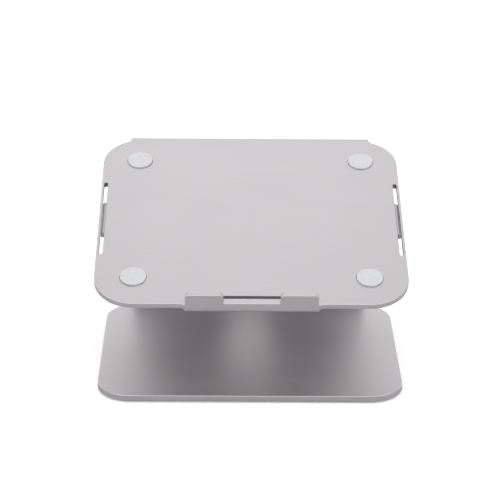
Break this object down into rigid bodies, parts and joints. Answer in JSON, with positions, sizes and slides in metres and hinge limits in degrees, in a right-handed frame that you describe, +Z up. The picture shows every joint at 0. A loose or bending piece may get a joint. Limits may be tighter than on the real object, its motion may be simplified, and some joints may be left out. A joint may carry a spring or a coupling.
{
  "type": "laptop stand",
  "caption": "Laptop stand bent from one aluminium sheet: flat base, upright neck with a round cable hole, sloping tray with round pads, and a notched front lip.",
  "frame": {"origin": "middle of the underside of the bounding box, on the plane that the feet rest on", "axes": "+X to the right across the tray, +Y to the back, +Z up; the lip faces -Y"},
  "size_m": [0.26, 0.2346, 0.1663],
  "materials": {
    "anodised_aluminium": "fine satin, clear anodised",
    "pad_silicone": "translucent white silicone, matt",
    "foot_rubber": "soft grey rubber, matt",
    "adhesive_film": "thin pressure-sensitive film"
  },
  "bodies": {
    "root": {"stand_body": "anodised_aluminium", "tray_pad_front_left": "pad_silicone", "tray_pad_front_right": "pad_silicone", "tray_pad_rear_left": "pad_silicone", "tray_pad_rear_right": "pad_silicone", "tray_pad_adhesive_front_left": "adhesive_film", "tray_pad_adhesive_front_right": "adhesive_film", "tray_pad_adhesive_rear_left": "adhesive_film", "tray_pad_adhesive_rear_right": "adhesive_film", "lip_liner": "pad_silicone", "lip_liner_adhesive": "adhesive_film", "base_foot_front_left": "foot_rubber", "base_foot_front_right": "foot_rubber", "base_foot_rear_left": "foot_rubber", "base_foot_rear_right": "foot_rubber", "base_foot_adhesive_front_left": "adhesive_film", "base_foot_adhesive_front_right": "adhesive_film", "base_foot_adhesive_rear_left": "adhesive_film", "base_foot_adhesive_rear_right": "adhesive_film"}
  },
  "joints": []
}
